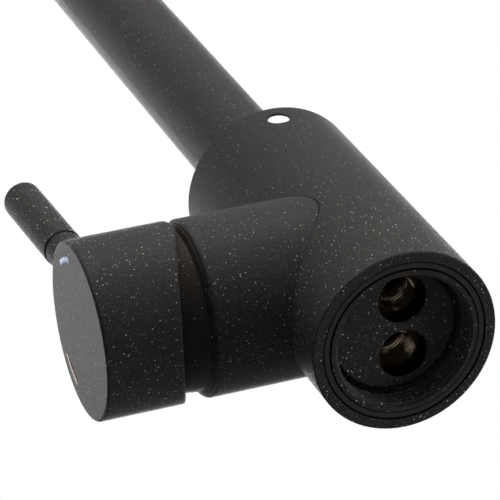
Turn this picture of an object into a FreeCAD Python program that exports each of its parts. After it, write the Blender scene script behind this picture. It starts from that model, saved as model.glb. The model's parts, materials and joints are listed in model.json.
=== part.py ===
"""Kitchen mixer tap with a side lever: a parametric model, in millimetres.

The origin is the centre of the base on the worktop. +Z runs up the barrel, +X along the
cartridge to the lever, and +Y to the back, where the spout's retaining screw sits.
"""
import FreeCAD, Part
import math
import os
import Sketcher

# Driving dimensions: alias, value, meaning
SIZES = [
    ("base_thread_radius", 18.0, "major radius of the base thread"),
    ("base_thread_depth", 0.81, "depth of the base thread"),
    ("base_thread_pitch", 1.5, "pitch of the base thread"),
    ("base_mouth", 0.3, "plain mouth of the base cavity"),
    ("base_thread_start", 1.2, "base thread from the base"),
    ("base_thread_length", 4.5, "length of the base thread"),
    ("base_relief", 4.8, "relief behind the base thread, round the port boss"),
    ("base_lip", 1.2, "lip between base thread and seal groove"),
    ("base_seal_width", 2.15, "width of the base seal groove"),
    ("base_seal_depth", 2.0, "depth of the base seal groove"),
    ("base_seal_gap", 0.32, "gap on each side of the base seal"),
    ("base_seal_sink", 0.18, "base seal inside its groove"),
    ("base_seal_edge", 0.2, "broken edges of the base seal"),
    ("base_rim", 2.65, "coated rim outside the base seal"),
    ("base_edge", 0.3, "broken edge at the base"),
    ("boss_recess", 7.0, "depth of the port boss below the base"),
    ("boss_gap", 1.0, "gap between port boss and base thread"),
    ("boss_edge", 0.5, "broken edge of the port boss"),
    ("lower_web", 9.15, "metal between base cavity and cartridge pocket"),
    ("upper_web", 2.85, "metal between cartridge pocket and spout bore"),
    ("spout_bore_depth", 34.0, "depth of the spout bore"),
    ("top_edge", 0.5, "broken edge at the top of the barrel"),
    ("port_offset", 2.4, "hose ports behind the barrel axis"),
    ("port_half_spacing", 7.6, "hose port from the middle plane"),
    ("port_mouth_radius", 6.4, "counterbore radius of a hose port"),
    ("port_mouth_depth", 3.5, "counterbore depth of a hose port"),
    ("port_mouth_edge", 0.4, "broken edge of a hose port"),
    ("port_thread_radius", 5.0, "major radius of a hose thread"),
    ("port_thread_depth", 0.54, "depth of a hose thread"),
    ("port_thread_pitch", 1.0, "pitch of a hose thread"),
    ("port_thread_length", 9.0, "length of a hose thread"),
    ("passage_radius", 3.2, "radius of the upright water passages"),
    ("drilling_radius", 3.0, "radius of the level water passages"),
    ("passage_end", 0.6, "upright passages past the level ones"),
    ("inlet_rise", 3.5, "inlet holes above the cartridge axis"),
    ("outlet_drop", 7.5, "outlet hole below the cartridge axis"),
    ("outlet_offset", 10.0, "outlet passage behind the barrel axis"),
    ("pocket_floor", 10.0, "cartridge pocket floor from the barrel axis"),
    ("pocket_clearance", 0.35, "cartridge in its pocket"),
    ("housing_wall", 4.4, "housing wall round the nut"),
    ("housing_edge", 1.0, "rounded front edge of the housing"),
    ("cartridge_radius", 17.4, "outer radius of the cartridge"),
    ("seal_squeeze", 0.3, "cartridge base above the pocket floor"),
    ("port_seal_radius", 4.7, "outer radius of a port seal"),
    ("port_seal_wall", 1.3, "radial width of a port seal"),
    ("port_seal_height", 1.5, "height of a port seal"),
    ("cartridge_base_thickness", 5.0, "thickness of the cartridge base"),
    ("seat_gap", 0.05, "gap between faces that seat on each other"),
    ("fixed_disc_radius", 15.0, "radius of the fixed ceramic disc"),
    ("fixed_disc_thickness", 4.5, "thickness of the fixed ceramic disc"),
    ("moving_disc_radius", 12.0, "radius of the moving ceramic disc"),
    ("moving_disc_thickness", 4.0, "thickness of the moving ceramic disc"),
    ("moving_disc_offset", 2.6, "moving disc below the axis when closed"),
    ("chamber_half_width", 6.0, "half width of the mixing chamber"),
    ("chamber_top", 2.2, "mixing chamber's top above the moving disc's centre"),
    ("chamber_bottom", 8.4, "mixing chamber's bottom below the moving disc's centre"),
    ("chamber_depth", 2.2, "depth of the mixing chamber"),
    ("carrier_height", 5.6, "height of the disc carrier"),
    ("carrier_half_width", 9.0, "half width of the disc carrier between the rails"),
    ("rail_gap", 0.2, "disc carrier to a guide rail"),
    ("rail_width", 2.0, "width of a guide rail"),
    ("rail_half_length", 10.0, "half length of a guide rail"),
    ("rail_height", 5.5, "guide rail below the turret flange"),
    ("ball_radius", 3.2, "ball at the inner end of the stem"),
    ("ball_gap", 0.3, "ball in its socket"),
    ("ball_depth", 1.35, "ball centre below the top of the carrier"),
    ("flange_gap", 1.3, "turret flange above the disc carrier"),
    ("flange_thickness", 3.0, "thickness of the turret flange"),
    ("shell_wall", 1.5, "side wall of the cartridge shell"),
    ("shell_top", 2.0, "top wall of the cartridge shell"),
    ("running_gap", 0.4, "running clearance of the turret"),
    ("turret_radius", 11.5, "radius of the turret neck"),
    ("shell_neck_wall", 1.7, "wall of the cartridge neck"),
    ("shell_neck_rise", 1.2, "cartridge neck past the pivot"),
    ("turret_rise", 3.5, "turret past the pivot"),
    ("slot_half_width", 4.2, "half width of the turret slot"),
    ("slot_half_length", 8.6, "half length of the turret slot"),
    ("pivot_rise", 0.4, "pivot past the housing front"),
    ("pivot_radius", 1.5, "radius of the pivot pin"),
    ("pivot_clearance", 0.05, "pivot pin in its holes"),
    ("pivot_end_gap", 0.3, "pivot pin end inside the turret"),
    ("nut_step", 0.75, "nut thread beyond the cartridge radius"),
    ("nut_clearance", 0.15, "nut in the housing mouth"),
    ("nut_thread_length", 6.4, "length of the nut's thread"),
    ("nut_sink", 0.4, "nut thread below the housing front"),
    ("nut_rise", 3.0, "nut past the housing front"),
    ("nut_collar_radius", 16.5, "radius of the nut's collar"),
    ("nut_bore_gap", 0.4, "nut round the cartridge neck"),
    ("mouth_lead", 1.2, "housing mouth below the nut"),
    ("cover_ring_section", 0.58, "section radius of the cover's O-ring"),
    ("cover_ring_gap", 0.05, "cover's O-ring to its seats"),
    ("cover_ring_rise", 1.9, "cover's O-ring past the housing front"),
    ("cover_lip", 0.4, "thickness of the cover's lip"),
    ("cover_lip_inset", 1.0, "cover's lip inside the housing radius"),
    ("cover_cone", 0.8, "length of the cover's conical flare"),
    ("cover_seat", 2.9, "length of the cover's seat round its O-ring"),
    ("cover_wall", 1.7, "wall of the cover's dome"),
    ("dome_gap", 0.8, "dome to the inside of the knob"),
    ("dome_lug_gap", 1.1, "dome's end to the lever lug"),
    ("knob_overhang", 0.1, "knob radius beyond the housing radius"),
    ("knob_wall", 1.4, "side wall of the knob"),
    ("knob_front_wall", 4.5, "front wall of the knob"),
    ("knob_gap", 1.7, "knob's rear rim from the housing front"),
    ("knob_length", 26.8, "length of the knob"),
    ("knob_edge", 0.8, "rounded front edge of the knob"),
    ("rim_edge", 1.1, "rounded rear rim of the knob"),
    ("slant_start", 1.7, "slanted rim starts above the knob axis"),
    ("slant_slope", 0.3, "slope of the slanted rear rim"),
    ("boss_radius", 8.0, "radius of the knob's stem boss"),
    ("boss_length", 9.6, "length of the knob's stem boss"),
    ("lug_half_width", 7.0, "half width of the lever lug"),
    ("lug_reach", 4.7, "lever lug behind the lever axis"),
    ("stem_half_width", 4.0, "half width of the square stem"),
    ("stem_fit", 0.05, "square stem in its socket"),
    ("stem_end_gap", 1.0, "stem end below the knob's front wall"),
    ("socket_end_gap", 0.4, "socket past the stem's end"),
    ("shank_radius", 2.4, "radius of the stem's shank"),
    ("square_start", 4.5, "square stem below the pivot"),
    ("lever_setback", 11.9, "lever axis behind the knob's front"),
    ("lever_lean", 3.0, "lean of the lever away from the barrel, in degrees"),
    ("lever_radius", 5.25, "radius of the lever"),
    ("lever_neck_radius", 5.0, "radius of the lever's neck"),
    ("lever_groove_radius", 4.75, "radius at the bottom of the lever's ring groove"),
    ("lever_groove_width", 0.35, "width of the lever's ring groove"),
    ("lever_neck_end", 44.3, "end of the lever's neck from the knob axis"),
    ("lever_grip_length", 32.7, "length of the lever's thick end"),
    ("lever_tip_edge", 1.0, "rounded edge of the lever's tip"),
    ("lever_shoulder_edge", 0.25, "broken edge of the lever's shoulder"),
    ("lever_seat", 5.8, "lever's neck sunk into the knob"),
    ("lever_fit", 0.08, "lever in its holes"),
    ("stud_radius", 2.9, "radius of the lever's stud"),
    ("stud_end_gap", 0.3, "stud to the stem"),
    ("tube_radius", 12.5, "outer radius of the spout tube"),
    ("tube_wall", 1.2, "wall of the spout tube"),
    ("riser_length", 193.0, "straight tube above the barrel"),
    ("arch_radius", 95.0, "radius of the spout's arch"),
    ("drop_length", 55.0, "straight tube down to the outlet"),
    ("bush_collar", 1.2, "spout bush beyond the tube's radius"),
    ("bore_clearance", 0.3, "spout bush in the spout bore"),
    ("bush_floor_gap", 1.0, "spout bush above the floor of its bore"),
    ("bush_bore_radius", 8.5, "water way through the spout bush"),
    ("spigot_length", 15.0, "bush spigot in the tube"),
    ("spigot_fit", 0.05, "spigot in the tube"),
    ("ring_depth", 3.0, "guide ring sunk into the barrel"),
    ("ring_radius", 16.0, "radius of the guide ring's seat"),
    ("ring_fit", 0.1, "guide ring in its seat and round the tube"),
    ("ring_flange", 0.8, "guide ring flange beyond its seat"),
    ("ring_flange_thickness", 1.0, "thickness of the guide ring's flange"),
    ("o_ring_section", 0.95, "section radius of a spout O-ring"),
    ("o_ring_groove", 2.1, "width of a spout O-ring groove"),
    ("o_ring_fit", 0.1, "spout O-ring to bore and groove"),
    ("first_o_ring", 10.0, "lower spout O-ring above the bore's floor"),
    ("o_ring_pitch", 5.5, "distance between the spout O-rings"),
    ("glide_start", 2.5, "glide ring above the bore's floor"),
    ("glide_height", 4.0, "height of the glide ring"),
    ("glide_wall", 1.3, "wall of the glide ring"),
    ("glide_gap", 0.1, "glide ring to the bore and to its groove"),
    ("keeper_depth", 1.5, "depth of the bush's retaining groove"),
    ("keeper_half_width", 3.3, "half width of the bush's retaining groove"),
    ("screw_drop", 7.0, "retaining screw below the top of the barrel"),
    ("screw_radius", 2.95, "radius of the retaining screw"),
    ("screw_hole_gap", 0.1, "screw and plug in their hole"),
    ("screw_tip_radius", 2.2, "radius of the screw's tip"),
    ("screw_tip_length", 2.2, "length of the screw's tip"),
    ("screw_tip_gap", 0.3, "screw's tip to the retaining groove"),
    ("screw_length", 8.0, "length of the retaining screw"),
    ("screw_key", 1.5, "half width of the screw's hexagon"),
    ("screw_key_depth", 3.0, "depth of the screw's hexagon"),
    ("plug_sink", 0.5, "plug below the crown of the barrel"),
    ("plug_gap", 0.2, "plug to the screw"),
    ("plug_edge", 0.3, "rounded edge of the plug"),
    ("outlet_thread_radius", 9.25, "thread radius of the outlet bush"),
    ("outlet_bush_length", 13.0, "length of the outlet bush"),
    ("outlet_bush_sink", 0.3, "outlet bush inside the tube's end"),
    ("outlet_bore_radius", 6.8, "water way through the outlet bush"),
    ("aerator_fit", 0.1, "aerator in the outlet bush"),
    ("aerator_length", 9.5, "length of the aerator shell"),
    ("aerator_sink", 0.4, "aerator inside the tube's end"),
    ("aerator_wall", 1.0, "wall of the aerator shell"),
    ("aerator_lip", 0.7, "aerator shell's lip under the insert"),
    ("aerator_lip_height", 1.0, "height of the aerator shell's lip"),
    ("insert_height", 5.0, "height of the aerator insert"),
    ("insert_cell_radius", 1.1, "radius of a cell in the aerator insert"),
    ("insert_cell_pitch", 2.6, "distance between cells in the aerator insert"),
    ("aerator_seal_height", 1.5, "height of the aerator seal"),
]

SKETCH_PLANES = {"x": "YZ_Plane", "y": "XZ_Plane", "z": "XY_Plane"}
INSERT_RINGS = 2
INSERT_TWIST = 0.1      # radians, so that no cell lies on an axis
THREAD_LAND = 0.25      # shares of a thread's pitch
THREAD_FLANK = 0.35
OVERCUT_MM = 2.0        # cutting shapes run this far past the faces that they open
TOUCH_MM = 1e-4         # a point this near to a surface lies on it
RIM_SAMPLES = 9         # points looked at along an edge

doc = FreeCAD.newDocument("kitchen_mixer_tap")
sheet = doc.addObject("Spreadsheet::Sheet", "Sizes")


class Size:
    """A length: its value now, and the sheet expression that keeps features bound to it."""

    def __init__(self, text, value):
        self.text = text
        self.value = value

    def __add__(self, other):
        return combined(self, "+", other, self.value + value_of(other))

    def __sub__(self, other):
        return combined(self, "-", other, self.value - value_of(other))

    def __mul__(self, other):
        return combined(self, "*", other, self.value * value_of(other))

    def __neg__(self):
        return Size(f"(-1 * {self.text})", -self.value)

    def root(self):
        return Size(f"sqrt({self.text})", math.sqrt(self.value))


def value_of(length):
    return length.value if isinstance(length, Size) else length


def combined(first, sign, second, value):
    text = second.text if isinstance(second, Size) else f"{second:.9f}"
    return Size(f"({first.text} {sign} {text})", value)


class Sizes:
    """The sheet's driving dimensions, each under its alias."""

    def __init__(self, rows):
        for row, (alias, value, meaning) in enumerate(rows, start=1):
            sheet.set(f"A{row}", meaning)
            sheet.set(f"B{row}", str(value))
            sheet.setAlias(f"B{row}", alias)
            setattr(self, alias, Size(f"Sizes.{alias}", value))


size = Sizes(SIZES)
doc.recompute()
pieces = []
cuts = []


def new_piece(name):
    body = doc.addObject("PartDesign::Body", name)
    body.Label = name
    pieces.append(body)
    return body


def new_sketch(body, name, plane_role, place, lean=None):
    """A sketch on one of the body's own planes, moved to a place given as (x, y, z)."""
    sketch = body.newObject("Sketcher::SketchObject", name)
    plane = next(f for f in body.Origin.OriginFeatures if f.Role == plane_role)
    sketch.AttachmentSupport = [(plane, "")]
    sketch.MapMode = "FlatFace"
    x, y, z = place
    moves = {"XZ_Plane": (x, z, -y), "YZ_Plane": (y, z, x), "XY_Plane": (x, y, z)}[plane_role]
    if lean is not None:
        turned = FreeCAD.Rotation(FreeCAD.Vector(0, 0, -1), lean.value)
        sketch.AttachmentOffset = FreeCAD.Placement(FreeCAD.Vector(), turned)
        sketch.setExpression("AttachmentOffset.Rotation.Angle", lean.text)
    for letter, move in zip("xyz", moves):
        if isinstance(move, Size):
            sketch.setExpression(f"AttachmentOffset.Base.{letter}", move.text)
    return sketch


def hold(sketch, direction, geometry, point, length):
    """Hold one coordinate of a sketch point at a length, or on the axis where it is 0."""
    kind, axis = (("DistanceX", -2), ("DistanceY", -1))[direction]
    if not isinstance(length, Size):
        sketch.addConstraint(Sketcher.Constraint("PointOnObject", geometry, point, axis))
        return
    index = sketch.addConstraint(
        Sketcher.Constraint(kind, -1, 1, geometry, point, length.value))
    sketch.setExpression(f"Constraints[{index}]", length.text)


def add_line(sketch, start, end):
    return sketch.addGeometry(Part.LineSegment(start, end)), 1, 2


def add_arc(sketch, start, end, centre):
    """The shorter arc from start to end, with its centre held."""
    middle = FreeCAD.Vector(value_of(centre[0]), value_of(centre[1]), 0)
    begin = math.atan2(start.y - middle.y, start.x - middle.x)
    finish = math.atan2(end.y - middle.y, end.x - middle.x)
    forward = (finish - begin) % (2 * math.pi) < math.pi
    circle = Part.Circle(middle, FreeCAD.Vector(0, 0, 1), start.distanceToPoint(middle))
    angles = (begin, finish) if forward else (finish, begin)
    index = sketch.addGeometry(Part.ArcOfCircle(circle, *angles))
    hold(sketch, 0, index, 3, centre[0])
    hold(sketch, 1, index, 3, centre[1])
    return (index, 1, 2) if forward else (index, 2, 1)


def trace(sketch, corners, closed=True):
    """Draw corners (u, v) in order; a third item is the centre of the arc that leads there."""
    spots = [FreeCAD.Vector(value_of(c[0]), value_of(c[1]), 0) for c in corners]
    runs = []
    for i in range(len(corners) - (0 if closed else 1)):
        j = (i + 1) % len(corners)
        if len(corners[j]) == 3:
            runs.append(add_arc(sketch, spots[i], spots[j], corners[j][2]))
        else:
            runs.append(add_line(sketch, spots[i], spots[j]))
    if not closed:
        hold(sketch, 0, runs[0][0], runs[0][1], corners[0][0])
        hold(sketch, 1, runs[0][0], runs[0][1], corners[0][1])
    for i, (index, _, end) in enumerate(runs):
        j = (i + 1) % len(corners)
        if closed or i + 1 < len(runs):
            following = runs[(i + 1) % len(runs)]
            sketch.addConstraint(
                Sketcher.Constraint("Coincident", index, end, following[0], following[1]))
        corner = corners[j]
        directions = [0, 1]
        if len(corner) == 3:
            across = abs(value_of(corner[0]) - value_of(corner[2][0]))
            along = abs(value_of(corner[1]) - value_of(corner[2][1]))
            directions = [0] if along > across else [1]
        for direction in directions:
            hold(sketch, direction, index, end, corner[direction])


def swapped(corner):
    if len(corner) == 3:
        return (corner[1], corner[0], (corner[2][1], corner[2][0]))
    return (corner[1], corner[0])


def turn(body, name, axis, place, outline, cut=False, lean=None):
    """Revolve an outline of (along, radius) corners about an axis through place."""
    plane = "YZ_Plane" if axis == "y" else "XZ_Plane"
    sketch = new_sketch(body, name + "_outline", plane, place, lean)
    trace(sketch, [swapped(c) for c in outline] if axis == "z" else outline)
    kind = "PartDesign::Groove" if cut else "PartDesign::Revolution"
    feature = body.newObject(kind, name)
    feature.Profile = sketch
    feature.ReferenceAxis = (sketch, ["V_Axis" if axis == "z" else "H_Axis"])
    feature.Angle = 360
    if cut:
        cuts.append(feature)
    return feature


def prism(body, name, axis, place, outline, length, cut=False):
    """Push an outline from place along an axis, by a length."""
    sketch = new_sketch(body, name + "_outline", SKETCH_PLANES[axis], place)
    trace(sketch, outline)
    feature = body.newObject("PartDesign::Pocket" if cut else "PartDesign::Pad", name)
    feature.Profile = sketch
    feature.setExpression("Length", length.text)
    feature.Reversed = cut != (axis == "y")
    if cut:
        cuts.append(feature)
    return feature


def drilled(start, end, radius):
    """The outline of a plain round hole or rod."""
    return [(start, 0), (start, radius), (end, radius), (end, 0)]


def ringed(start, end, inner, outer):
    """The outline of a plain ring."""
    return [(start, inner), (start, outer), (end, outer), (end, inner)]


def boxed(left, right, bottom, top):
    return [(left, bottom), (right, bottom), (right, top), (left, top)]


def threaded(start, length, pitch, minor, major):
    """Ring grooves of a thread, with flat lands between them, from start along its axis."""
    corners = []
    for turn_number in range(round(length.value / pitch.value)):
        foot = start + pitch * (turn_number + THREAD_LAND)
        corners.append((foot, minor))
        corners.append((foot + pitch * THREAD_FLANK, major))
        corners.append((foot + pitch * (2 * THREAD_FLANK), minor))
    return corners


def rounded(along, radius, edge):
    """A rounded outer corner at the far end of an outline."""
    return [(along - edge, radius), (along, radius - edge, (along - edge, radius - edge))]


overcut = Size(str(OVERCUT_MM), OVERCUT_MM)

# Sizes that follow from the driving ones: the barrel and its base
base_minor = size.base_thread_radius - size.base_thread_depth
seal_inner = size.base_thread_radius + size.base_lip
seal_outer = seal_inner + size.base_seal_width
body_radius = seal_outer + size.base_rim
cavity_depth = size.base_thread_start + size.base_thread_length + size.base_relief
pocket_radius = size.cartridge_radius + size.pocket_clearance
axis_height = cavity_depth + size.lower_web + pocket_radius
bore_floor = axis_height + pocket_radius + size.upper_web
body_height = bore_floor + size.spout_bore_depth
inlet_height = axis_height + size.inlet_rise
outlet_height = axis_height - size.outlet_drop

# The housing and the knob, by radius
nut_radius = size.cartridge_radius + size.nut_step
mouth_radius = nut_radius + size.nut_clearance
housing_radius = mouth_radius + size.housing_wall
knob_radius = housing_radius + size.knob_overhang
knob_inner = knob_radius - size.knob_wall
dome_radius = knob_inner - size.dome_gap
cover_inner = size.nut_collar_radius + size.cover_ring_section * 2 - size.cover_ring_gap * 2

# The cartridge, stacked from the pocket floor towards the lever
base_start = size.pocket_floor + size.seal_squeeze
base_end = base_start + size.cartridge_base_thickness
fixed_start = base_end + size.seat_gap
fixed_end = fixed_start + size.fixed_disc_thickness
moving_start = fixed_end + size.seat_gap
moving_end = moving_start + size.moving_disc_thickness
carrier_start = moving_end + size.seat_gap
carrier_end = carrier_start + size.carrier_height
flange_start = carrier_end + size.flange_gap
flange_end = flange_start + size.flange_thickness
shell_wall_start = flange_end + size.running_gap
shell_wall_end = shell_wall_start + size.shell_top
nut_start = shell_wall_end + size.seat_gap
housing_front = nut_start + size.nut_thread_length
pivot = housing_front + size.pivot_rise
ball_centre = carrier_end - size.ball_depth
turret_end = pivot + size.turret_rise
shell_inner = size.cartridge_radius - size.shell_wall
flange_radius = shell_inner - size.running_gap
shell_neck_inner = size.turret_radius + size.running_gap
shell_neck_outer = shell_neck_inner + size.shell_neck_wall
pivot_hole = size.pivot_radius + size.pivot_clearance

# The knob and the lever, along the cartridge axis
knob_rear = housing_front + size.knob_gap
knob_front = knob_rear + size.knob_length
knob_floor = knob_front - size.knob_front_wall
lever_axis = knob_front - size.lever_setback
lug_start = lever_axis - size.lug_reach
dome_end = lug_start - size.dome_lug_gap
dome_centre = housing_front + size.cover_lip + size.cover_cone
stem_end = knob_floor - size.stem_end_gap
socket_end = stem_end + size.socket_end_gap
socket_half = size.stem_half_width + size.stem_fit

# The spout, from its bush to the aerator
bush_radius = size.tube_radius + size.bush_collar
bore_radius = bush_radius + size.bore_clearance
tube_inner = size.tube_radius - size.tube_wall
tube_start = body_height - size.ring_depth
riser_end = body_height + size.riser_length
spout_reach = size.arch_radius * 2
outlet_level = riser_end - size.drop_length
screw_height = body_height - size.screw_drop
keeper_radius = bush_radius - size.keeper_depth
hole_radius = size.screw_radius + size.screw_hole_gap

cartridge_line = (0, 0, axis_height)
disc_line = (0, 0, axis_height - size.moving_disc_offset)
screw_line = (0, 0, screw_height)
outlet_line = (-spout_reach, 0, 0)
lever_foot = (lever_axis, 0, axis_height)
water_ways = [(size.port_half_spacing, inlet_height), (-size.port_half_spacing, inlet_height),
              (0, outlet_height)]


def make_body_casting():
    """Barrel and cartridge housing in one casting, with its base, ports, pocket and spout bore."""
    body = new_piece("body_casting")
    rim = body_radius - size.base_edge
    turn(body, "barrel", "z", (0, 0, 0),
         [(0, 0), (0, rim), (size.base_edge, body_radius)]
         + [(body_height - size.top_edge, body_radius), (body_height, body_radius - size.top_edge)]
         + [(body_height, 0)])
    turn(body, "housing", "x", cartridge_line,
         [(0, 0), (0, housing_radius)] + rounded(housing_front, housing_radius, size.housing_edge)
         + [(housing_front, 0)])
    boss_radius = base_minor - size.boss_gap
    thread_end = size.base_thread_start + size.base_thread_length
    cavity = [(-overcut, 0), (-overcut, size.base_thread_radius),
              (size.base_mouth, size.base_thread_radius), (size.base_thread_start, base_minor)]
    cavity += threaded(size.base_thread_start, size.base_thread_length, size.base_thread_pitch,
                       base_minor, size.base_thread_radius)
    cavity += [(thread_end, base_minor), (thread_end, size.base_thread_radius),
               (cavity_depth, size.base_thread_radius), (cavity_depth, boss_radius),
               (size.boss_recess + size.boss_edge, boss_radius),
               (size.boss_recess, boss_radius - size.boss_edge), (size.boss_recess, 0)]
    turn(body, "base_cavity", "z", (0, 0, 0), cavity, cut=True)
    turn(body, "seal_groove", "z", (0, 0, 0),
         ringed(-overcut, size.base_seal_depth, seal_inner, seal_outer), cut=True)
    turn(body, "spout_bore", "z", (0, 0, 0),
         [(bore_floor, 0), (bore_floor, bore_radius), (tube_start, bore_radius),
          (tube_start, size.ring_radius), (body_height + overcut, size.ring_radius),
          (body_height + overcut, 0)], cut=True)
    mouth_start = nut_start - size.mouth_lead
    turn(body, "cartridge_pocket", "x", cartridge_line,
         [(size.pocket_floor, 0), (size.pocket_floor, pocket_radius), (mouth_start, pocket_radius),
          (mouth_start, mouth_radius), (housing_front + overcut, mouth_radius),
          (housing_front + overcut, 0)], cut=True)
    for side in (size.port_half_spacing, -size.port_half_spacing):
        make_hose_port(body, side)
    turn(body, "outlet_drilling", "x", (-size.outlet_offset, 0, outlet_height),
         drilled(0, size.outlet_offset + size.pocket_floor + overcut, size.drilling_radius), cut=True)
    turn(body, "outlet_passage", "z", (-size.outlet_offset, 0, 0),
         drilled(outlet_height - size.passage_radius - size.passage_end, bore_floor + overcut,
                 size.passage_radius), cut=True)
    turn(body, "screw_hole", "y", screw_line,
         drilled(bore_radius - overcut, body_radius + overcut, hole_radius), cut=True)


def make_hose_port(body, side):
    """A counterbored hose thread in the boss, with its passages to the cartridge pocket."""
    minor = size.port_thread_radius - size.port_thread_depth
    mouth_end = size.boss_recess + size.port_mouth_depth
    thread_end = mouth_end + size.port_thread_length
    edge_radius = size.port_mouth_radius + size.port_mouth_edge
    port = [(size.boss_recess - overcut, 0), (size.boss_recess - overcut, edge_radius),
            (size.boss_recess, edge_radius),
            (size.boss_recess + size.port_mouth_edge, size.port_mouth_radius),
            (mouth_end, size.port_mouth_radius), (mouth_end, minor)]
    port += threaded(mouth_end, size.port_thread_length, size.port_thread_pitch,
                     minor, size.port_thread_radius)
    port += [(thread_end, minor), (thread_end, size.passage_radius)]
    passage_top = inlet_height + size.passage_radius + size.passage_end
    port += [(passage_top, size.passage_radius), (passage_top, 0)]
    turn(body, "hose_port", "z", (-size.port_offset, side, 0), port, cut=True)
    turn(body, "inlet_drilling", "x", (-size.port_offset, side, inlet_height),
         drilled(0, size.port_offset + size.pocket_floor + overcut, size.drilling_radius), cut=True)


def make_base_seal_ring():
    body = new_piece("base_seal_ring")
    inner = seal_inner + size.base_seal_gap
    outer = seal_outer - size.base_seal_gap
    bottom = size.base_seal_sink
    edge = size.base_seal_edge
    turn(body, "ring", "z", (0, 0, 0),
         [(bottom, inner + edge), (bottom, outer - edge), (bottom + edge, outer),
          (size.base_seal_depth, outer), (size.base_seal_depth, inner), (bottom + edge, inner)])


def make_retaining_screw():
    """Set screw whose tip runs in the groove of the spout bush, and the plug over it."""
    screw = new_piece("spout_retaining_screw")
    start = keeper_radius + size.screw_tip_gap
    tip_end = start + size.screw_tip_length
    end = start + size.screw_length
    turn(screw, "thread", "y", screw_line,
         [(start, 0), (start, size.screw_tip_radius), (tip_end, size.screw_tip_radius),
          (tip_end, size.screw_radius), (end, size.screw_radius), (end, 0)])
    corner = size.screw_key * (2 / math.sqrt(3))
    hexagon = [(corner, 0), (corner * 0.5, size.screw_key), (-corner * 0.5, size.screw_key),
               (-corner, 0), (-corner * 0.5, -size.screw_key), (corner * 0.5, -size.screw_key)]
    prism(screw, "key_socket", "y", (0, end - size.screw_key_depth, screw_height), hexagon,
          size.screw_key_depth + overcut, cut=True)
    plug = new_piece("screw_hole_plug")
    crown = body_radius - size.plug_sink
    turn(plug, "plug", "y", screw_line,
         [(end + size.plug_gap, 0), (end + size.plug_gap, size.screw_radius)]
         + rounded(crown, size.screw_radius, size.plug_edge) + [(crown, 0)])


def make_guide_ring():
    """Flanged ring that guides the tube at the top of the barrel."""
    body = new_piece("spout_guide_ring")
    inner = size.tube_radius + size.ring_fit
    outer = size.ring_radius - size.ring_fit
    flange = size.ring_radius + size.ring_flange
    top = body_height + size.ring_flange_thickness
    turn(body, "ring", "z", (0, 0, 0),
         [(tube_start + size.ring_fit, inner), (tube_start + size.ring_fit, outer),
          (body_height, outer), (body_height, flange), (top, flange), (top, inner)])


def make_cartridge_base():
    body = new_piece("cartridge_base")
    turn(body, "plate", "x", cartridge_line, drilled(base_start, base_end, size.cartridge_radius))
    seat = size.pocket_floor + size.port_seal_height
    for side, height in water_ways:
        turn(body, "water_way", "x", (0, side, height),
             [(base_start - overcut, 0),
              (base_start - overcut, size.port_seal_radius + size.seat_gap),
              (seat + size.seat_gap, size.port_seal_radius + size.seat_gap),
              (seat + size.seat_gap, size.drilling_radius),
              (base_end + overcut, size.drilling_radius), (base_end + overcut, 0)], cut=True)


def round_bar(name, radius, length, start, side, height):
    """A plain cylinder along +X."""
    bar = doc.addObject("Part::Cylinder", name)
    bar.setExpression("Radius", radius.text)
    bar.setExpression("Height", length.text)
    bar.Placement = FreeCAD.Placement(
        FreeCAD.Vector(), FreeCAD.Rotation(FreeCAD.Vector(0, 1, 0), 90))
    bar.setExpression("Placement.Base.x", start.text)
    if isinstance(side, Size):
        bar.setExpression("Placement.Base.y", side.text)
    bar.setExpression("Placement.Base.z", height.text)
    return bar


def new_group(name, members):
    group = doc.addObject("Part::Compound", name)
    group.Label = name
    group.Links = members
    pieces.append(group)


def make_port_seals():
    """Three rubber rings between the cartridge base and the pocket floor."""
    rings = []
    for side, height in water_ways:
        ring = doc.addObject("Part::Cut", "port_seal")
        ring.Base = round_bar("seal_outside", size.port_seal_radius, size.port_seal_height,
                              size.pocket_floor, side, height)
        ring.Tool = round_bar("seal_hole", size.port_seal_radius - size.port_seal_wall,
                              size.port_seal_height, size.pocket_floor, side, height)
        rings.append(ring)
    new_group("port_seals", rings)


def make_discs():
    """Fixed and moving ceramic discs, and the carrier that the stem's ball drives."""
    fixed = new_piece("fixed_disc")
    turn(fixed, "disc", "x", cartridge_line, drilled(fixed_start, fixed_end, size.fixed_disc_radius))
    for side, height in water_ways:
        turn(fixed, "water_way", "x", (0, side, height),
             drilled(fixed_start - overcut, fixed_end + overcut, size.drilling_radius), cut=True)
    moving = new_piece("moving_disc")
    turn(moving, "disc", "x", disc_line, drilled(moving_start, moving_end, size.moving_disc_radius))
    prism(moving, "mixing_chamber", "x", (moving_start - overcut, 0, disc_line[2]),
          boxed(-size.chamber_half_width, size.chamber_half_width,
                -size.chamber_bottom, size.chamber_top),
          size.chamber_depth + overcut, cut=True)
    carrier = new_piece("disc_carrier")
    turn(carrier, "plate", "x", disc_line, drilled(carrier_start, carrier_end, size.moving_disc_radius))
    far = size.moving_disc_radius + overcut
    for left, right in ((size.carrier_half_width, far), (-far, -size.carrier_half_width)):
        prism(carrier, "flat", "x", (carrier_start - overcut, 0, disc_line[2]),
              boxed(left, right, -far, far), size.carrier_height + overcut * 2, cut=True)
    socket = size.ball_radius + size.ball_gap
    turn(carrier, "ball_socket", "x", cartridge_line,
         drilled(ball_centre - socket, carrier_end + overcut, socket), cut=True)


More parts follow.
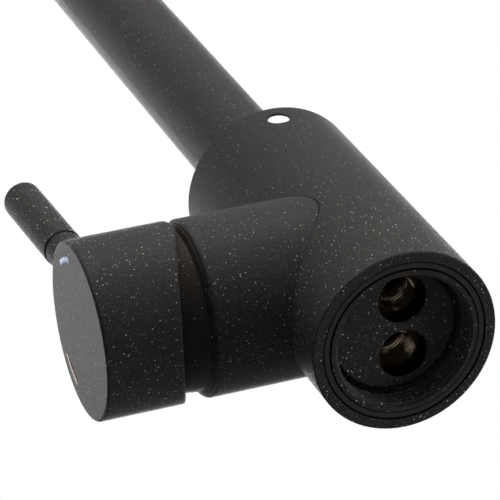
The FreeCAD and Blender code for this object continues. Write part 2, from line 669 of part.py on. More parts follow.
def make_turret():
    """Turret that turns in the cartridge neck, carries the pivot and guides the disc carrier."""
    body = new_piece("turret")
    turn(body, "flange_and_neck", "x", cartridge_line,
         [(flange_start, 0), (flange_start, flange_radius), (flange_end, flange_radius),
          (flange_end, size.turret_radius), (turret_end, size.turret_radius), (turret_end, 0)])
    prism(body, "stem_slot", "x", (flange_start - overcut, 0, axis_height),
          boxed(-size.slot_half_width, size.slot_half_width,
                -size.slot_half_length, size.slot_half_length),
          turret_end - flange_start + overcut * 2, cut=True)
    near = size.carrier_half_width + size.rail_gap
    far = near + size.rail_width
    for left, right in ((near, far), (-far, -near)):
        prism(body, "guide_rail", "x", (flange_start - size.rail_height, 0, axis_height),
              boxed(left, right, -size.rail_half_length, size.rail_half_length), size.rail_height)
    reach = size.turret_radius + overcut
    turn(body, "pivot_hole", "y", (pivot, 0, axis_height), drilled(-reach, reach, pivot_hole), cut=True)
    pin = new_piece("pivot_pin")
    half = size.turret_radius - size.pivot_end_gap
    turn(pin, "pin", "y", (pivot, 0, axis_height), drilled(-half, half, size.pivot_radius))


def make_cartridge_shell():
    body = new_piece("cartridge_shell")
    neck_end = pivot + size.shell_neck_rise
    turn(body, "shell", "x", cartridge_line,
         [(fixed_start, shell_inner), (fixed_start, size.cartridge_radius),
          (shell_wall_end, size.cartridge_radius), (shell_wall_end, shell_neck_outer),
          (neck_end, shell_neck_outer), (neck_end, shell_neck_inner),
          (shell_wall_start, shell_neck_inner), (shell_wall_start, shell_inner)])


def make_nut_and_cover():
    """Nut that clamps the cartridge, the dome cover over it and the O-ring between them."""
    nut = new_piece("cartridge_nut")
    thread_end = housing_front - size.nut_sink
    collar_end = housing_front + size.nut_rise
    nut_inner = shell_neck_outer + size.nut_bore_gap
    groove_middle = housing_front + size.cover_ring_rise
    groove_half = size.cover_ring_section + size.cover_ring_gap
    groove_radius = cover_inner - size.cover_ring_section * 2 - size.cover_ring_gap * 2
    turn(nut, "nut", "x", cartridge_line,
         [(nut_start, nut_inner), (nut_start, nut_radius), (thread_end, nut_radius),
          (thread_end, size.nut_collar_radius),
          (groove_middle - groove_half, size.nut_collar_radius),
          (groove_middle - groove_half, groove_radius),
          (groove_middle + groove_half, groove_radius),
          (groove_middle + groove_half, size.nut_collar_radius),
          (collar_end, size.nut_collar_radius), (collar_end, nut_inner)])
    ring = doc.addObject("Part::Torus", "cover_o_ring")
    ring.Label = "cover_o_ring"
    ring_radius = cover_inner - size.cover_ring_section - size.cover_ring_gap
    ring.setExpression("Radius1", ring_radius.text)
    ring.setExpression("Radius2", size.cover_ring_section.text)
    ring.Placement = FreeCAD.Placement(
        FreeCAD.Vector(), FreeCAD.Rotation(FreeCAD.Vector(0, 1, 0), 90))
    ring.setExpression("Placement.Base.x", groove_middle.text)
    ring.setExpression("Placement.Base.z", axis_height.text)
    pieces.append(ring)
    cover = new_piece("dome_cover")
    lip = housing_radius - size.cover_lip_inset
    inner_dome = dome_radius - size.cover_wall
    rise = dome_end - dome_centre
    seat_end = housing_front + size.cover_seat
    seat_rise = seat_end - dome_centre
    turn(cover, "dome", "x", cartridge_line,
         [(housing_front, cover_inner), (housing_front, lip), (housing_front + size.cover_lip, lip),
          (dome_centre, dome_radius),
          (dome_end, (dome_radius * dome_radius - rise * rise).root(), (dome_centre, 0)),
          (dome_end, (inner_dome * inner_dome - rise * rise).root()),
          (seat_end, (inner_dome * inner_dome - seat_rise * seat_rise).root(), (dome_centre, 0)),
          (seat_end, cover_inner)])


def make_stem():
    """Stem with a driving ball inside the cartridge and a square end for the knob."""
    body = new_piece("stem")
    square_start = pivot - size.square_start
    shoulder = (size.ball_radius * size.ball_radius - size.shank_radius * size.shank_radius).root()
    turn(body, "ball_and_shank", "x", cartridge_line,
         [(ball_centre - size.ball_radius, 0),
          (ball_centre, size.ball_radius, (ball_centre, 0)),
          (ball_centre + shoulder, size.shank_radius, (ball_centre, 0)),
          (square_start, size.shank_radius), (square_start, 0)])
    half = size.stem_half_width
    prism(body, "square", "x", (square_start, 0, axis_height), boxed(-half, half, -half, half),
          stem_end - square_start)
    turn(body, "pivot_hole", "y", (pivot, 0, axis_height),
         drilled(-half - overcut, half + overcut, pivot_hole), cut=True)


def rear_rim_edges(shape):
    """Names of the curved edges where the rear rim meets the outside of the knob."""
    limit = knob_floor.value
    names = []
    for number, edge in enumerate(shape.Edges, start=1):
        spots = edge.discretize(RIM_SAMPLES)
        outside = all(abs(math.hypot(p.y, p.z - axis_height.value) - knob_radius.value) < TOUCH_MM
                      for p in spots)
        if outside and edge.BoundBox.XMax < limit and not isinstance(edge.Curve, Part.Line):
            names.append(f"Edge{number}")
    return names


def make_lever_knob():
    """Cup over the dome, with a boss for the stem, a lug for the lever and a slanted rear rim."""
    body = new_piece("lever_knob")
    turn(body, "cup", "x", cartridge_line,
         [(knob_rear, 0), (knob_rear, knob_radius)]
         + rounded(knob_front, knob_radius, size.knob_edge) + [(knob_front, 0)])
    turn(body, "hollow", "x", cartridge_line,
         drilled(knob_rear - overcut, knob_floor, knob_inner), cut=True)
    past = knob_radius + overcut
    split = size.slant_start
    slanted = prism(body, "slanted_rim", "y", (0, -past, axis_height),
                    [(knob_rear - overcut, split), (knob_rear, split),
                     (knob_rear + (past + split) * size.slant_slope, -past),
                     (knob_rear - overcut, -past)],
                    past * 2, cut=True)
    doc.recompute()
    rim = body.newObject("PartDesign::Fillet", "rounded_rim")
    rim.Base = (slanted, rear_rim_edges(slanted.Shape))
    rim.setExpression("Radius", size.rim_edge.text)
    turn(body, "stem_boss", "x", cartridge_line,
         drilled(knob_floor - size.boss_length, knob_floor + size.knob_front_wall * 0.5,
                 size.boss_radius))
    lug_width = size.lug_half_width
    lug_crown = knob_inner + size.knob_wall * 0.5
    lug_top = (lug_crown * lug_crown - lug_width * lug_width).root()
    prism(body, "lever_lug", "x", (lug_start, 0, axis_height),
          [(-lug_width, size.stem_half_width), (lug_width, size.stem_half_width),
           (lug_width, lug_top), (-lug_width, lug_top, (0, 0))],
          knob_floor - lug_start + size.knob_front_wall * 0.5)
    prism(body, "stem_socket", "x", (knob_floor - size.boss_length - overcut, 0, axis_height),
          boxed(-socket_half, socket_half, -socket_half, socket_half),
          socket_end - knob_floor + size.boss_length + overcut, cut=True)
    seat = knob_radius - size.lever_seat
    turn(body, "lever_hole", "z", lever_foot,
         [(0, 0), (0, size.stud_radius + size.lever_fit), (seat, size.stud_radius + size.lever_fit),
          (seat, size.lever_neck_radius + size.lever_fit),
          (knob_radius + overcut, size.lever_neck_radius + size.lever_fit),
          (knob_radius + overcut, 0)], cut=True, lean=size.lever_lean)


def make_lever_pin():
    """Round lever with a ring groove under its thick end; its stud clamps the stem."""
    body = new_piece("lever_pin")
    start = size.stem_half_width + size.stud_end_gap
    seat = knob_radius - size.lever_seat + size.lever_fit
    grip = size.lever_neck_end + size.lever_groove_width
    tip = grip + size.lever_grip_length
    turn(body, "lever", "z", lever_foot,
         [(start, 0), (start, size.stud_radius), (seat, size.stud_radius),
          (seat, size.lever_neck_radius), (size.lever_neck_end, size.lever_neck_radius),
          (size.lever_neck_end, size.lever_groove_radius), (grip, size.lever_groove_radius),
          (grip, size.lever_radius - size.lever_shoulder_edge),
          (grip + size.lever_shoulder_edge, size.lever_radius)]
         + rounded(tip, size.lever_radius, size.lever_tip_edge) + [(tip, 0)], lean=size.lever_lean)


def make_spout_tube():
    """Tube that rises straight, arches over and drops to the outlet."""
    body = new_piece("spout_tube")
    section = new_sketch(body, "tube_section", "XY_Plane", (0, 0, tube_start))
    for radius in (size.tube_radius, tube_inner):
        circle = Part.Circle(FreeCAD.Vector(), FreeCAD.Vector(0, 0, 1), radius.value)
        index = section.addGeometry(circle)
        section.addConstraint(Sketcher.Constraint("Coincident", index, 3, -1, 1))
        bound = section.addConstraint(Sketcher.Constraint("Radius", index, radius.value))
        section.setExpression(f"Constraints[{bound}]", radius.text)
    route = new_sketch(body, "tube_route", "XZ_Plane", (0, 0, 0))
    centre = (-size.arch_radius, riser_end)
    trace(route, [(0, tube_start), (0, riser_end),
                  (-size.arch_radius, riser_end + size.arch_radius, centre),
                  (-spout_reach, riser_end, centre), (-spout_reach, outlet_level)], closed=False)
    pipe = body.newObject("PartDesign::AdditivePipe", "tube")
    pipe.Profile = section
    pipe.Spine = route


def make_spout_bush():
    """Bush brazed into the tube: it turns in the spout bore and carries seals and glide ring."""
    body = new_piece("spout_bush")
    start = bore_floor + size.bush_floor_gap
    glide = bore_floor + size.glide_start
    glide_floor = bore_radius - size.glide_gap * 2 - size.glide_wall
    ring_floor = bore_radius - size.o_ring_fit * 2 - size.o_ring_section * 2
    outline = [(start, size.bush_bore_radius), (start, bush_radius), (glide, bush_radius),
               (glide, glide_floor), (glide + size.glide_height, glide_floor),
               (glide + size.glide_height, bush_radius)]
    half_groove = size.o_ring_groove * 0.5
    for level in o_ring_levels():
        outline += [(level - half_groove, bush_radius), (level - half_groove, ring_floor),
                    (level + half_groove, ring_floor), (level + half_groove, bush_radius)]
    spigot = tube_inner - size.spigot_fit
    end = tube_start + size.spigot_length
    outline += [(screw_height - size.keeper_half_width, bush_radius),
                (screw_height - size.keeper_half_width, keeper_radius),
                (screw_height + size.keeper_half_width, keeper_radius),
                (screw_height + size.keeper_half_width, bush_radius), (tube_start, bush_radius),
                (tube_start, spigot), (end, spigot), (end, size.bush_bore_radius)]
    turn(body, "bush", "z", (0, 0, 0), outline)
    glide_ring = new_piece("spout_glide_ring")
    turn(glide_ring, "ring", "z", (0, 0, 0),
         ringed(glide + size.glide_gap, glide + size.glide_height - size.glide_gap,
                glide_floor + size.glide_gap, bore_radius - size.glide_gap))


def o_ring_levels():
    first = bore_floor + size.first_o_ring
    return [first, first + size.o_ring_pitch]


def make_spout_o_rings():
    rings = []
    for level in o_ring_levels():
        ring = doc.addObject("Part::Torus", "spout_o_ring")
        middle = bore_radius - size.o_ring_fit - size.o_ring_section
        ring.setExpression("Radius1", middle.text)
        ring.setExpression("Radius2", size.o_ring_section.text)
        ring.setExpression("Placement.Base.z", level.text)
        rings.append(ring)
    new_group("spout_o_rings", rings)


def make_aerator():
    """Threaded bush in the tube's end, with the aerator's shell, celled insert and seal."""
    bush = new_piece("outlet_bush")
    bush_start = outlet_level + size.outlet_bush_sink
    bush_end = bush_start + size.outlet_bush_length
    shell_start = outlet_level + size.aerator_sink
    shell_end = shell_start + size.aerator_length
    seal_end = shell_end + size.aerator_seal_height
    shell_outer = size.outlet_thread_radius - size.aerator_fit
    shell_hole = shell_outer - size.aerator_wall
    outer = tube_inner - size.spigot_fit
    turn(bush, "bush", "z", outlet_line,
         [(bush_start, size.outlet_thread_radius), (bush_start, outer), (bush_end, outer),
          (bush_end, size.outlet_bore_radius), (seal_end, size.outlet_bore_radius),
          (seal_end, size.outlet_thread_radius)])
    shell = new_piece("aerator_shell")
    lip_top = shell_start + size.aerator_lip_height
    turn(shell, "shell", "z", outlet_line,
         [(shell_start, shell_hole - size.aerator_lip), (shell_start, shell_outer),
          (shell_end, shell_outer), (shell_end, shell_hole), (lip_top, shell_hole),
          (lip_top, shell_hole - size.aerator_lip)])
    seal = new_piece("aerator_seal")
    turn(seal, "seal", "z", outlet_line,
         ringed(shell_end, seal_end, size.outlet_bore_radius, shell_outer))
    make_aerator_insert(lip_top, shell_hole - size.aerator_fit)


def make_aerator_insert(bottom, radius):
    """Round insert with rings of straight cells."""
    insert = new_piece("aerator_insert")
    sketch = new_sketch(insert, "cells", "XY_Plane", (-spout_reach, 0, bottom))
    spots = [(0, 0, radius), (0, 0, size.insert_cell_radius)]
    for ring in range(1, INSERT_RINGS + 1):
        for step in range(6 * ring):
            angle = math.pi * step / (3 * ring) + INSERT_TWIST
            reach = size.insert_cell_pitch * ring
            spots.append((reach * math.cos(angle), reach * math.sin(angle), size.insert_cell_radius))
    for x, y, round_radius in spots:
        spot = FreeCAD.Vector(value_of(x), value_of(y), 0)
        circle = Part.Circle(spot, FreeCAD.Vector(0, 0, 1), round_radius.value)
        index = sketch.addGeometry(circle)
        hold(sketch, 0, index, 3, x)
        hold(sketch, 1, index, 3, y)
        bound = sketch.addConstraint(Sketcher.Constraint("Radius", index, round_radius.value))
        sketch.setExpression(f"Constraints[{bound}]", round_radius.text)
    pad = insert.newObject("PartDesign::Pad", "cell_block")
    pad.Profile = sketch
    pad.setExpression("Length", size.insert_height.text)


def check_model():
    """Stop if a feature failed, a cut removed nothing or a piece has no sound solid."""
    for item in doc.Objects:
        if "Invalid" in item.State or "Error" in item.State:
            raise RuntimeError(f"{item.Name} of {item.Label} failed: {item.State}")
    for cut in cuts:
        if cut.Shape.Volume >= cut.BaseFeature.Shape.Volume - 1e-6:
            raise RuntimeError(f"{cut.Name} cuts nothing")
    for piece in pieces:
        if piece.Shape.isNull() or not piece.Shape.isValid() or not piece.Shape.Solids:
            raise RuntimeError(f"{piece.Label} has no sound solid")


make_body_casting()
make_base_seal_ring()
make_retaining_screw()
make_guide_ring()
make_cartridge_base()
make_port_seals()
make_discs()
make_turret()
make_cartridge_shell()
make_nut_and_cover()
make_stem()
make_lever_knob()
make_lever_pin()
make_spout_tube()
make_spout_bush()
make_spout_o_rings()
make_aerator()
doc.recompute()
check_model()
os.makedirs("parts", exist_ok=True)
for piece in pieces:
    piece.Shape.exportStep(f"parts/{piece.Label}.step")
    box = piece.Shape.BoundBox
    print(piece.Label, len(piece.Shape.Solids), round(piece.Shape.Volume),
          [round(v, 2) for v in (box.XMin, box.XMax, box.YMin, box.YMax, box.ZMin, box.ZMax)])
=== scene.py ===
"""Finish of a kitchen mixer tap: materials, printed marks, aerator, light and camera.

Lengths are in metres, in the frame of the tap: the origin is the centre of the base on the
worktop, +Z runs up the barrel, +X along the cartridge to the lever and +Y to the back. Names that
end in _MM are in millimetres, in which the patterns of the materials are drawn.
"""
import json
import math

import bpy
from mathutils import Matrix, Quaternion, Vector


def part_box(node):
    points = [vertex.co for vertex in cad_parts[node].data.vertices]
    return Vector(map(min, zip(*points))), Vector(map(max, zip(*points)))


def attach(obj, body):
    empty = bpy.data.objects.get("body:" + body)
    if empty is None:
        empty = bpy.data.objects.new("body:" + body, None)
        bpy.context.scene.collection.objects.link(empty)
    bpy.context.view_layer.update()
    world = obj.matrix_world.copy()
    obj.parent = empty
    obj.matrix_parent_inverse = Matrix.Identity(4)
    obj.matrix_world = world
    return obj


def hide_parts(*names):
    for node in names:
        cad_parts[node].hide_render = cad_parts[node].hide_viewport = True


MM = 0.001
COLOUR_A, COLOUR_B, COLOUR_OUT = 6, 7, 2    # sockets of a Mix node that carry colours

# Stone-look coating
COAT_GLOSS = 0.025              # specular level of the matte coating
COAT_ROUGHNESS = (0.42, 0.6)
COAT_BUMP_MM = 0.1
GRIT_MM = 0.8                   # drawn this coarse so that it shows
MOTTLE_MM = 9.0
SAND_MM = 0.6
SAND_NOISE = (0.3, 0.7)         # the sand's noise from its dark to its light side
SAND_LEVELS = (0.9, 1.1)        # and the brightness that these give
FINE_CELL_MM = 0.5              # one fine grain in each cell of this size
FINE_RADIUS_MM = 0.15
BOLD_CELL_MM = 0.95
BOLD_RADIUS_MM = 0.185
SMALLEST_GRAIN = 0.1            # share of its radius that a grain has at least
GRAIN_CORE = 0.65               # share of a grain inside its soft edge
LIT_BACK_MM = (0.0, 22.0)        # from the middle to the back of the tap, where the key lamp falls
LIT_BACK_GRAINS = (1.1, 0.86)    # size of the grains there: smaller on the lit back, so the dots show less in the light
FULL_GRAINS = 1.0               # size of the grains in a full coat
SPOUT_GRAINS = 0.62             # up on the spout
NECK_GRAINS = 0.7               # on the neck under the knob
THINNING_MM = (15.0, 65.0)      # heights on the casting between which the coat gets thinner

# Shape of the casting, which its material follows, also where it paints shade into the crease and the
# seal's groove
BARREL_RADIUS_MM = 24.0
HOUSING_RADIUS_MM = 22.7
HOUSING_AXIS_MM = 37.4          # height of the housing's axis
CREASE_MM = 0.07                # how far the painted shade line between housing and barrel runs out on each side
CREASE_FADE_MM = (18.5, 22.0)   # distance from the middle plane over which that painted shade line comes up
GROOVE_RADIUS_MM = 20.275       # middle of the base seal's groove
GROOVE_HALF_WIDTH_MM = 1.1
GROOVE_HEIGHT_MM = 1.05         # height of the middle of its walls
GROOVE_HALF_DEPTH_MM = 1.0
PORT_MOUTH_RADIUS_MM = 6.4
PORT_MOUTH_DEPTH_MM = 3.5
PORT_RIM_MM = (0.3, 0.1)        # where the coat ends outside a port's mouth
PORT_START_MM = 0.3             # depth in which the metal becomes bare
THREAD_TOP_MM = (0.05, 0.25)    # from the crest of a thread down its flank
WEAR_GLINT_PATCH_MM = 5.0
WEAR_GLINT_NOISE = (0.53, 0.7)        # the patches' noise from dull to bright: wear with painted glints
BARE_ROUGHNESS = 0.25

# Plastics, rubber and ceramic
CLOUD_MM = 4.0
SKIN_SPREAD = 0.06              # roughness either side of a material's own
SKIN_BUMP = 0.2
# Metals
STAIN_MM = 3.0
RING_PITCH_MM = 0.3             # the tool's rings, drawn this far apart so that they show
RING_SPREAD = 0.08
RING_BUMP = 0.25
UPRIGHT = (0.02, 0.02, 1)       # a pattern's spread in rings round +Z
TO_THE_BACK = (0.02, 1, 0.02)   # and round +Y
RELIEF_MM = 0.01                # height of a skin or of a tool's rings

# Printed marks on the knob's face
MARK_RADIUS = 18.0 * MM
MARK_WIDTH = 1.7 * MM
MARK_THICKNESS = 0.06 * MM
MARK_SWEEP = math.radians(29)
MARK_ANGLE = math.radians(59)   # from the lever to the middle of a mark
MARK_STEPS = 24

# Comb of the aerator
COMB_PITCH = 1.7 * MM
COMB_OPENING = 0.82             # share of a cell that is open, across its flats
COMB_RIM = 1.3 * MM
COMB_ROWS = 13
COMB_SINK = 0.1                 # share of the rim's height by which the cells lie back at each face
COMB_WELD = 0.01 * MM
RIM_STEPS = 64

# The view of the photograph
CAMERA_PLACE = Vector((0.24426, 0.35771, -0.59773))
CAMERA_TARGET = Vector((0.02840, 0.01345, 0.03266))
CAMERA_ROLL = math.radians(-39.25)
CAMERA_LENS = 218.83
CAMERA_SENSOR = 36.0
CAMERA_SHIFT = (0.00614, 0.0163)
CAMERA_NEAR = 0.01

# Studio: each lamp's place and watts, the light all round and the worktop
LAMP_SIZE = 0.8
LAMPS = {
    "key_lamp": ((-0.20, 1.08, 0.54), 17.5),    # to the back
    "side_lamp": ((-1.10, -0.03, -0.38), 8.0),  # to the left under the spout
    "lever_lamp": ((0.49, -0.38, 1.07), 7.0),   # over the lever
    "fill_lamp": ((0.37, 0.56, -0.98), 1.05),   # from below
    "front_lamp": ((-0.32, -0.54, 1.04), 12.0),  # over the front
}
AMBIENT = 0.06
FLOOR_RADIUS = 0.9
FLOOR_STEPS = 64
FLOOR_DROP = 0.6 * MM           # the worktop's gap under the base
FLOOR_FADE = (0.15, 0.95)       # shares of its radius between which it fades away

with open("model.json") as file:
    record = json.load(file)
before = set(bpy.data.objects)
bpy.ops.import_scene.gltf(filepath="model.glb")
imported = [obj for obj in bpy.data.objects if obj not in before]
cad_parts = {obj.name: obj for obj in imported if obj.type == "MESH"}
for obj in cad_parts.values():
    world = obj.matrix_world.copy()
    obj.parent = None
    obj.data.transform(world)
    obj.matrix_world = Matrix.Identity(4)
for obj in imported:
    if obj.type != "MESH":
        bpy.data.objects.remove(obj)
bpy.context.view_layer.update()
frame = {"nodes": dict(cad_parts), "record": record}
scene = bpy.context.scene
mounts = {mount["name"]: mount for mount in frame["record"]["mounts"]}


def linear(colour):
    """A colour written as sRGB hex, as the linear values that a shader takes."""
    shares = [int(colour[i:i + 2], 16) / 255 for i in (1, 3, 5)]
    return [s / 12.92 if s <= 0.04045 else ((s + 0.055) / 1.055) ** 2.4 for s in shares] + [1.0]


def add(tree, kind, inputs=None, **settings):
    """Add a node with its settings; an input is a value, or a link where it is a socket."""
    node = tree.nodes.new(kind)
    for name, value in settings.items():
        setattr(node, name, value)
    for key, value in (inputs or {}).items():
        if isinstance(value, bpy.types.NodeSocket):
            tree.links.new(value, node.inputs[key])
        else:
            node.inputs[key].default_value = value
    return node


def new_material(name):
    """An empty material, its node tree and its coordinates in millimetres."""
    material = bpy.data.materials.new(name)
    material.use_nodes = True
    tree = material.node_tree
    tree.nodes.clear()
    place = add(tree, "ShaderNodeTexCoord")
    millimetres = add(tree, "ShaderNodeVectorMath", {0: place.outputs["Object"], "Scale": 1 / MM},
                      operation="SCALE")
    return material, tree, millimetres.outputs["Vector"]


def finish_surface(tree, inputs):
    """Close a material's tree with its surface."""
    surface = add(tree, "ShaderNodeBsdfPrincipled", inputs)
    add(tree, "ShaderNodeOutputMaterial", {"Surface": surface.outputs["BSDF"]})


def grains(tree, place, cell, radius, largest):
    """Round grains of many sizes, one to a cell, up to the largest share of a radius: 1 in a grain."""
    cells = add(tree, "ShaderNodeTexVoronoi", {"Vector": place, "Scale": 1 / cell})
    chance = add(tree, "ShaderNodeTexWhiteNoise", {"Vector": cells.outputs["Color"]})
    share = add(tree, "ShaderNodeMapRange", {"Value": chance.outputs["Value"],
                                             "To Min": SMALLEST_GRAIN, "To Max": largest})
    apart = add(tree, "ShaderNodeMath", {0: cells.outputs["Distance"], 1: share.outputs[0]},
                operation="DIVIDE")
    inside = add(tree, "ShaderNodeMapRange",
                 {"Value": apart.outputs[0], "From Min": GRAIN_CORE * radius / cell,
                  "From Max": radius / cell, "To Min": 1.0, "To Max": 0.0},
                 interpolation_type="SMOOTHSTEP")
    return inside.outputs[0]


def coat_colour(tree, place, largest, dark="#373635", light="#3f3d3b"):
    """Charcoal ground with a faint mottle and sand, fine grey grains and bolder white ones, all a
    little smaller towards the lit back, a painted light effect so that the dots show less in the light."""
    mottle = add(tree, "ShaderNodeTexNoise", {"Vector": place, "Scale": 1 / MOTTLE_MM, "Detail": 3.0})
    ground = add(tree, "ShaderNodeMix", {"Factor": mottle.outputs["Fac"], COLOUR_A: linear(dark),
                                         COLOUR_B: linear(light)}, data_type="RGBA")
    sand = add(tree, "ShaderNodeTexNoise", {"Vector": place, "Scale": 1 / SAND_MM, "Detail": 2.0})
    level = add(tree, "ShaderNodeMapRange",
                {"Value": sand.outputs["Fac"], "From Min": SAND_NOISE[0], "From Max": SAND_NOISE[1],
                 "To Min": SAND_LEVELS[0], "To Max": SAND_LEVELS[1]})
    sanded = add(tree, "ShaderNodeVectorMath", {0: ground.outputs[COLOUR_OUT], "Scale": level.outputs[0]},
                 operation="SCALE")
    along = add(tree, "ShaderNodeSeparateXYZ", {0: place})
    # Painted light: the grains shrink towards the back, where the key lamp falls, so the dots show less
    # there
    lit_back_scale = add(tree, "ShaderNodeMapRange",
                  {"Value": along.outputs["Y"], "From Min": LIT_BACK_MM[0], "From Max": LIT_BACK_MM[1],
                   "To Min": LIT_BACK_GRAINS[0], "To Max": LIT_BACK_GRAINS[1]})
    size = add(tree, "ShaderNodeMath", {0: lit_back_scale.outputs[0], 1: largest}, operation="MULTIPLY")
    fine = grains(tree, place, FINE_CELL_MM, FINE_RADIUS_MM, size.outputs[0])
    bold = grains(tree, place, BOLD_CELL_MM, BOLD_RADIUS_MM, size.outputs[0])
    greyed = add(tree, "ShaderNodeMix", {"Factor": fine, COLOUR_A: sanded.outputs[0],
                                         COLOUR_B: linear("#828079")}, data_type="RGBA")
    whitened = add(tree, "ShaderNodeMix", {"Factor": bold, COLOUR_A: greyed.outputs[COLOUR_OUT],
                                           COLOUR_B: linear("#fbfaf7")}, data_type="RGBA")
    return whitened.outputs[COLOUR_OUT]


def coat_relief(tree, place):
    """Roughness and fine bumps of the coating's grit."""
    grit = add(tree, "ShaderNodeTexNoise", {"Vector": place, "Scale": 1 / GRIT_MM, "Detail": 3.0})
    rough = add(tree, "ShaderNodeMapRange", {"Value": grit.outputs["Fac"],
                                             "To Min": COAT_ROUGHNESS[0], "To Max": COAT_ROUGHNESS[1]})
    bump = add(tree, "ShaderNodeBump", {"Strength": 1.0, "Distance": COAT_BUMP_MM * MM,
                                        "Height": grit.outputs["Fac"]})
    return rough.outputs[0], bump.outputs["Normal"]


def stone_coat(name, largest, *ground):
    """Baked stone-look coating: matte charcoal, pricked with fine grey and white grains."""
    material, tree, place = new_material(name)
    rough, normal = coat_relief(tree, place)
    finish_surface(tree, {"Base Color": coat_colour(tree, place, largest, *ground), "Roughness": rough,
                          "Specular IOR Level": COAT_GLOSS, "Normal": normal})
    return material


def bare_ports(tree, place):
    """1 in the two hose ports, where the brass is bare, and the metal's colour there, with a painted
    dark reflection and painted glints.
    """
    port = mounts["cold_inlet"]
    offset, spacing, depth = (value / MM for value in port["pos_m"])
    crest = port["dims"]["r_mm"]
    start = depth - PORT_MOUTH_DEPTH_MM
    parts = add(tree, "ShaderNodeSeparateXYZ", {0: place})
    side = add(tree, "ShaderNodeMath", {0: parts.outputs["Y"]}, operation="ABSOLUTE")
    flat = add(tree, "ShaderNodeCombineXYZ", {"X": parts.outputs["X"], "Y": side.outputs[0]})
    apart = add(tree, "ShaderNodeVectorMath", {0: flat.outputs[0], 1: (offset, spacing, 0)},
                operation="DISTANCE")
    near = add(tree, "ShaderNodeMapRange",
               {"Value": apart.outputs["Value"], "From Min": PORT_MOUTH_RADIUS_MM + PORT_RIM_MM[0],
                "From Max": PORT_MOUTH_RADIUS_MM + PORT_RIM_MM[1]})
    deep = add(tree, "ShaderNodeMapRange", {"Value": parts.outputs["Z"], "From Min": start,
                                            "From Max": start + PORT_START_MM})
    share = add(tree, "ShaderNodeMath", {0: near.outputs[0], 1: deep.outputs[0]}, operation="MULTIPLY")
    top = add(tree, "ShaderNodeMapRange",
              {"Value": apart.outputs["Value"], "From Min": crest + THREAD_TOP_MM[0],
               "From Max": crest + THREAD_TOP_MM[1], "To Min": 1.0, "To Max": 0.0})
    wear_glint_noise = add(tree, "ShaderNodeTexNoise", {"Vector": place, "Scale": 1 / WEAR_GLINT_PATCH_MM, "Detail": 1.0})
    wear_glint_patch = add(tree, "ShaderNodeMapRange", {"Value": wear_glint_noise.outputs["Fac"], "From Min": WEAR_GLINT_NOISE[0],
                                             "From Max": WEAR_GLINT_NOISE[1]})
    wear_and_glint = add(tree, "ShaderNodeMath", {0: top.outputs[0], 1: wear_glint_patch.outputs[0]}, operation="MULTIPLY")
    # Near-black brass, partly tarnish and partly a painted dark reflection; the lighter patches on the
    # crests are partly wear and partly painted glints
    brass = add(tree, "ShaderNodeMix", {"Factor": wear_and_glint.outputs[0], COLOUR_A: linear("#110c08"),
                                        COLOUR_B: linear("#877b68")}, data_type="RGBA")
    return share.outputs[0], brass.outputs[COLOUR_OUT]


def painted_shade_lines(tree, place):
    """Painted shade: 1 in the fine line where the side of the housing meets the barrel, and on the
    walls of the base seal's groove, where these hollows are painted dark as shade."""
    along = add(tree, "ShaderNodeSeparateXYZ", {0: place})
    upright = add(tree, "ShaderNodeVectorMath", {0: place, 1: (1, 1, 0)}, operation="MULTIPLY")
    centred = add(tree, "ShaderNodeVectorMath", {0: place, 1: (0, 0, HOUSING_AXIS_MM)},
                  operation="SUBTRACT")
    across = add(tree, "ShaderNodeVectorMath", {0: centred.outputs[0], 1: (0, 1, 1)},
                 operation="MULTIPLY")
    off_barrel = add(tree, "ShaderNodeVectorMath", {0: upright.outputs[0]}, operation="LENGTH")
    off_housing = add(tree, "ShaderNodeVectorMath", {0: across.outputs[0]}, operation="LENGTH")
    on_barrel = add(tree, "ShaderNodeMath", {0: off_barrel.outputs["Value"], 1: BARREL_RADIUS_MM,
                                             2: CREASE_MM}, operation="COMPARE")
    on_housing = add(tree, "ShaderNodeMath", {0: off_housing.outputs["Value"], 1: HOUSING_RADIUS_MM,
                                              2: CREASE_MM}, operation="COMPARE")
    both = add(tree, "ShaderNodeMath", {0: on_barrel.outputs[0], 1: on_housing.outputs[0]},
               operation="MULTIPLY")
    lever_side = add(tree, "ShaderNodeMath", {0: along.outputs["X"], 1: 0.0}, operation="GREATER_THAN")
    corner = add(tree, "ShaderNodeMath", {0: both.outputs[0], 1: lever_side.outputs[0]},
                 operation="MULTIPLY")
    # The crease's painted shade comes up only far from the middle plane
    aside = add(tree, "ShaderNodeMath", {0: along.outputs["Y"]}, operation="ABSOLUTE")
    sharp = add(tree, "ShaderNodeMapRange", {"Value": aside.outputs[0], "From Min": CREASE_FADE_MM[0],
                                             "From Max": CREASE_FADE_MM[1]})
    crease = add(tree, "ShaderNodeMath", {0: corner.outputs[0], 1: sharp.outputs[0]},
                 operation="MULTIPLY")
    on_seal = add(tree, "ShaderNodeMath", {0: off_barrel.outputs["Value"], 1: GROOVE_RADIUS_MM,
                                           2: GROOVE_HALF_WIDTH_MM}, operation="COMPARE")
    low = add(tree, "ShaderNodeMath", {0: along.outputs["Z"], 1: GROOVE_HEIGHT_MM,
                                       2: GROOVE_HALF_DEPTH_MM}, operation="COMPARE")
    groove = add(tree, "ShaderNodeMath", {0: on_seal.outputs[0], 1: low.outputs[0]},
                 operation="MULTIPLY")
    painted_shade = add(tree, "ShaderNodeMath", {0: crease.outputs[0], 1: groove.outputs[0]},
                 operation="MAXIMUM")
    return painted_shade.outputs[0]


